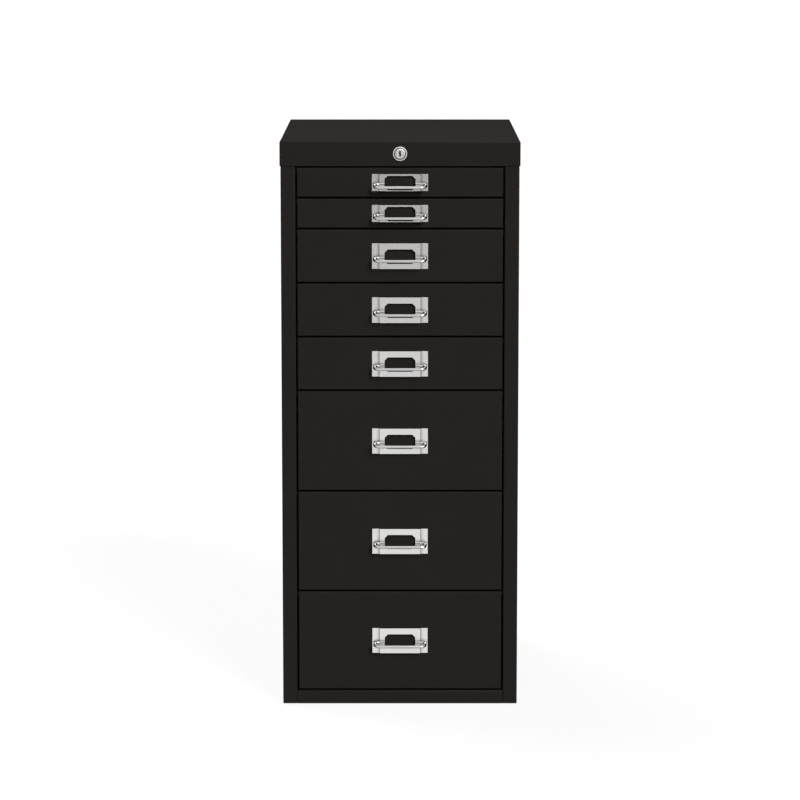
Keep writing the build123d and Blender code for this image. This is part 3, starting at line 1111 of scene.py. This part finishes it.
class CABINET_OT_bend_pulls(bpy.types.Operator):
    """Bend the wire pulls and seat their tips in the plates' tunnels"""

    bl_idname = "cabinet.bend_pulls"
    bl_label = "Bend Wire Pulls"

    def execute(self, context):
        sizes = context.scene.cabinet_handles
        metal = nickel_plated_wire(context.scene.cabinet_finishes)
        for number in DRAWERS:
            name = f"wire_pull_{number}"
            node = f"drawer_{number}_pull"
            low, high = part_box(f"drawer_{number}_plate")
            mesh = wire_mesh(name, sizes, (low.z + high.z) / 2)
            new_piece(name, mesh, metal, f"drawer_{number}", node)
        return {"FINISHED"}


class CABINET_OT_turn_lock(bpy.types.Operator):
    """Turn the lock's housing and its plug, and cut the keyway"""

    bl_idname = "cabinet.turn_lock"
    bl_label = "Turn Lock"

    def execute(self, context):
        sizes = context.scene.cabinet_lock
        finishes = context.scene.cabinet_finishes
        # The second material is painted shade for the lock's recesses.
        metal_and_shade = [nickel_plated_casting(finishes), painted_recess_shade(finishes)]
        self.make_housing(sizes, metal_and_shade)
        self.make_plug(sizes, metal_and_shade)
        return {"FINISHED"}

    def make_housing(self, sizes, metal_and_shade):
        """The barrel with its ring before the cap, and the groove and bore painted near black as
        shade.
        """
        low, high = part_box("lock_housing")
        cap_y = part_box("top_cap")[0].y
        ring_radius = (high.x - low.x) / 2
        groove_y = low.y + sizes.groove_depth
        rim = sizes.ring_round
        turns = [pi / 2 * step / RIM_STEPS for step in range(RIM_STEPS + 1)]
        rounding = [
            (ring_radius - rim + rim * cos(turn), low.y + rim - rim * sin(turn)) for turn in turns
        ]
        outside = [
            (sizes.bore_radius, high.y),
            (sizes.barrel_radius, high.y),
            (sizes.barrel_radius, cap_y),
            (ring_radius, cap_y),
            *rounding,
            (sizes.groove_radius, low.y),
        ]
        inside = [
            (sizes.groove_radius, groove_y),
            (sizes.bore_radius, groove_y),
            (sizes.bore_radius, high.y),
        ]
        maker = bmesh.new()
        bands = turn_profile(maker, outside + inside)[1]
        dark = [face for band in bands[-len(inside):] for face in band]
        self.add_turned(maker, dark, "turned_lock_ring", metal_and_shade, "carcass", "lock_housing")

    def make_plug(self, sizes, metal_and_shade):
        """The plug with its sunk face, the keyway painted near black as shade, and the shaft's seat
        behind.
        """
        low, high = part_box("lock_plug")
        radius = (high.x - low.x) / 2
        face_y = low.y + sizes.dish_depth
        floor_y = face_y + sizes.keyway_depth
        profile = [
            (sizes.dish_radius, face_y),
            (sizes.dish_radius + sizes.dish_depth, low.y),
            (radius - sizes.bevel, low.y),
            (radius, low.y + sizes.bevel / 2),
            (radius, high.y),
            (sizes.seat_radius, high.y),
            (sizes.seat_radius, high.y - sizes.seat_depth),
        ]
        maker = bmesh.new()
        rings = turn_profile(maker, profile)[0]
        maker.faces.new(rings[-1])
        half = sizes.keyway_width / 2
        tall = sizes.keyway_height / 2
        right = [(half + sizes.ward * out, tall * up) for up, out in KEYWAY_SIDE]
        outline = right + [(-x, -z) for x, z in right]
        mouth = [maker.verts.new((x, face_y, LOCK_AXIS_Z + z)) for x, z in outline]
        floor = [maker.verts.new((x, floor_y, LOCK_AXIS_Z + z)) for x, z in outline]
        dark = [*join_rings(maker, mouth, floor), maker.faces.new(floor)]
        borders = [
            maker.edges.get((ring[side - 1], ring[side]))
            for ring in (mouth, rings[0])
            for side in range(len(ring))
        ]
        bmesh.ops.triangle_fill(maker, edges=borders, use_beauty=True)
        self.add_turned(maker, dark, "turned_lock_plug", metal_and_shade, "lock_cylinder", "lock_plug")

    def add_turned(self, maker, dark, name, metal_and_shade, body, node):
        """Make a piece of a turned mesh, nickel outside and painted near black inside, as painted
        shade.
        """
        for face in dark:
            face.material_index = 1
        bmesh.ops.remove_doubles(maker, verts=maker.verts, dist=TOUCHING)
        bmesh.ops.recalc_face_normals(maker, faces=maker.faces)
        mesh = finish_mesh(maker, name)
        new_piece(name, mesh, metal_and_shade[0], body, node)
        mesh.materials.append(metal_and_shade[1])
        mesh.set_sharp_from_angle(angle=SHARP_TURN_ON_LATHE)


class CABINET_OT_plate_lock_gear(bpy.types.Operator):
    """Plate the hidden lock gear and the drawers' keepers in the uprights' zinc"""

    bl_idname = "cabinet.plate_lock_gear"
    bl_label = "Plate Lock Gear"

    def execute(self, context):
        zinc = bpy.data.materials["Zinc_plated_steel"]
        finish_nodes(["lock_nut", "lock_shaft", "lock_crank", "shaft_bracket"], zinc)
        finish_nodes(["lock_bar", "lock_fingers", "bar_guides"], zinc)
        finish_nodes([f"drawer_{number}_keeper" for number in DRAWERS], zinc)
        return {"FINISHED"}


class CABINET_OT_mould_glides(bpy.types.Operator):
    """Mould the glide feet in black polyethylene"""

    bl_idname = "cabinet.mould_glides"
    bl_label = "Mould Glides"

    def execute(self, context):
        finishes = context.scene.cabinet_finishes
        finish_nodes(["glide_feet"], moulded_polyethylene(finishes), finishes.glide_edge)
        return {"FINISHED"}


class CABINET_OT_set_stage(bpy.types.Operator):
    """Lay the floor, hang the cloths and the lamps, and place the camera"""

    bl_idname = "cabinet.set_stage"
    bl_label = "Set Stage"

    def execute(self, context):
        settings = context.scene.cabinet_stage
        self.lay_floor(context, settings)
        self.hang_cloths(context, settings)
        self.light_world(context, settings)
        self.hang_lamps(context, settings)
        self.place_camera(context, settings)
        context.scene.view_settings.view_transform = "Standard"
        return {"FINISHED"}

    def shown(self, tree):
        """1 for rays that show the background: those of the camera, off metal and through glass."""
        rays = add_node(tree, "ShaderNodeLightPath").outputs
        seen = add_node(
            tree,
            "ShaderNodeMath",
            {0: rays["Is Camera Ray"], 1: rays["Is Glossy Ray"]},
            operation="MAXIMUM",
        ).outputs["Value"]
        return add_node(
            tree,
            "ShaderNodeMath",
            {0: seen, 1: rays["Is Transmission Ray"]},
            operation="MAXIMUM",
        ).outputs["Value"]

    def add_sheet(self, context, name, corners, material):
        """A flat sheet that belongs to the stage."""
        maker = bmesh.new()
        maker.faces.new([maker.verts.new(corner) for corner in corners])
        mesh = finish_mesh(maker, name)
        mesh.materials.append(material)
        sheet = bpy.data.objects.new(name, mesh)
        context.scene.collection.objects.link(sheet)
        return sheet

    def lay_floor(self, context, settings):
        """A painted floor that shows white, and a little less in the cabinet's shadow."""
        lit = shade(settings.floor, 1 - settings.floor_glow)
        glowing = shade(settings.floor, settings.floor_glow)
        reach = settings.floor_reach
        material, tree = bare_material("Painted_floor")
        matt = add_node(tree, "ShaderNodeBsdfDiffuse", {"Color": lit})
        glow = add_node(
            tree,
            "ShaderNodeEmission",
            {"Color": glowing, "Strength": self.shown(tree)},
        )
        both = add_node(tree, "ShaderNodeAddShader", {0: matt.outputs[0], 1: glow.outputs[0]})
        add_node(tree, "ShaderNodeOutputMaterial", {"Surface": both.outputs[0]})
        corners = [(-reach, -reach, 0), (reach, -reach, 0), (reach, reach, 0), (-reach, reach, 0)]
        self.add_sheet(context, "Floor", corners, material)

    def hang_cloths(self, context, settings):
        """Black cloths all round and a pale ceiling, which only glossy surfaces see."""
        left, right = -settings.side_room, settings.side_room
        front, back = -settings.front_room, settings.back_room
        low, high = settings.cloth_foot, settings.ceiling_height
        corners = [(left, front), (right, front), (right, back), (left, back)]
        names = ["Front_cloth", "Right_cloth", "Back_cloth", "Left_cloth"]
        black = self.cloth_material("Black_cloth", settings.cloth)
        sheets = [
            self.add_sheet(context, name, [(*a, low), (*b, low), (*b, high), (*a, high)], black)
            for name, a, b in zip(names, corners, [*corners[1:], corners[0]])
        ]
        pale = self.cloth_material("Pale_ceiling", settings.ceiling)
        over = [(*corner, high) for corner in corners]
        sheets.append(self.add_sheet(context, "Ceiling", over, pale))
        for sheet in sheets:
            sheet.visible_camera = False
            sheet.visible_shadow = False
            sheet.visible_diffuse = False

    def cloth_material(self, name, tint):
        """An even colour for metal to mirror, which no lamp changes."""
        material, tree = bare_material(name)
        even = add_node(tree, "ShaderNodeEmission", {"Color": shade(tint, 1)})
        add_node(tree, "ShaderNodeOutputMaterial", {"Surface": even.outputs[0]})
        return material

    def light_world(self, context, settings):
        """A white background that gives only a little light."""
        world = bpy.data.worlds.new("Studio")
        context.scene.world = world
        world.use_nodes = True
        tree = world.node_tree
        tree.nodes.clear()
        level = add_node(
            tree,
            "ShaderNodeMapRange",
            {"Value": self.shown(tree), "To Min": settings.fill},
        ).outputs["Result"]
        sky = add_node(tree, "ShaderNodeBackground", {"Color": (1, 1, 1, 1), "Strength": level})
        add_node(tree, "ShaderNodeOutputWorld", {"Surface": sky.outputs[0]})

    def hang_lamps(self, context, settings):
        """Two large soft lamps, so far away that they light the whole cabinet evenly."""
        lamps = {
            "Key_lamp": (settings.key_way, settings.key_power, settings.key_spread, True),
            "Back_lamp": (settings.back_way, settings.back_power, settings.back_spread, False),
        }
        for name, (way, power, spread, mirrored) in lamps.items():
            lamp = bpy.data.objects.new(name, bpy.data.lights.new(name, "SUN"))
            context.scene.collection.objects.link(lamp)
            lamp.data.energy = power
            lamp.data.angle = spread
            # Mirrored rays stop at the cloths, so a lamp's shine is worked out from the lamp alone
            lamp.data.cycles.use_multiple_importance_sampling = False
            lamp.rotation_euler = Vector(way).to_track_quat("Z", "Y").to_euler()
            lamp.visible_glossy = mirrored

    def place_camera(self, context, settings):
        """A long lens before the cabinet, looking a little down."""
        camera = bpy.data.objects.new("Camera", bpy.data.cameras.new("Camera"))
        context.scene.collection.objects.link(camera)
        camera.location = (0, -settings.camera_distance, settings.camera_height)
        camera.rotation_euler = (pi / 2 - settings.camera_fall, 0, 0)
        camera.data.lens = settings.lens
        context.scene.camera = camera


class CABINET_PT_sidebar(bpy.types.Panel):
    """The cabinet's finishes, sizes and steps"""

    bl_label = "Multi-Drawer Cabinet"
    bl_idname = "CABINET_PT_sidebar"
    bl_space_type = "VIEW_3D"
    bl_region_type = "UI"
    bl_category = "Cabinet"

    def draw(self, context):
        for name, kind in GROUPS.items():
            box = self.layout.box()
            for setting in kind.__annotations__:
                box.prop(getattr(context.scene, name), setting)
        for step in STEPS:
            self.layout.operator(step.bl_idname)


STEPS = (
    CABINET_OT_coat_carcass,
    CABINET_OT_coat_drawers,
    CABINET_OT_fit_runners,
    CABINET_OT_press_plates,
    CABINET_OT_bend_pulls,
    CABINET_OT_turn_lock,
    CABINET_OT_plate_lock_gear,
    CABINET_OT_mould_glides,
    CABINET_OT_set_stage,
)
GROUPS = {
    "cabinet_finishes": CabinetFinishes,
    "cabinet_handles": HandleSizes,
    "cabinet_lock": LockSizes,
    "cabinet_stage": StageSettings,
}


def register():
    """Make the settings, steps and panel known to Blender."""
    for kind in (*GROUPS.values(), *STEPS, CABINET_PT_sidebar):
        bpy.utils.register_class(kind)
    for name, group in GROUPS.items():
        setattr(bpy.types.Scene, name, PointerProperty(type=group))


def unregister():
    """Take the settings, steps and panel out of Blender."""
    for name in GROUPS:
        delattr(bpy.types.Scene, name)
    for kind in reversed((*GROUPS.values(), *STEPS, CABINET_PT_sidebar)):
        bpy.utils.unregister_class(kind)


def main():
    """Dress the cabinet step by step."""
    register()
    bpy.ops.cabinet.coat_carcass()
    bpy.ops.cabinet.coat_drawers()
    bpy.ops.cabinet.fit_runners()
    bpy.ops.cabinet.press_plates()
    bpy.ops.cabinet.bend_pulls()
    bpy.ops.cabinet.turn_lock()
    bpy.ops.cabinet.plate_lock_gear()
    bpy.ops.cabinet.mould_glides()
    bpy.ops.cabinet.set_stage()


if __name__ == "__main__":
    main()
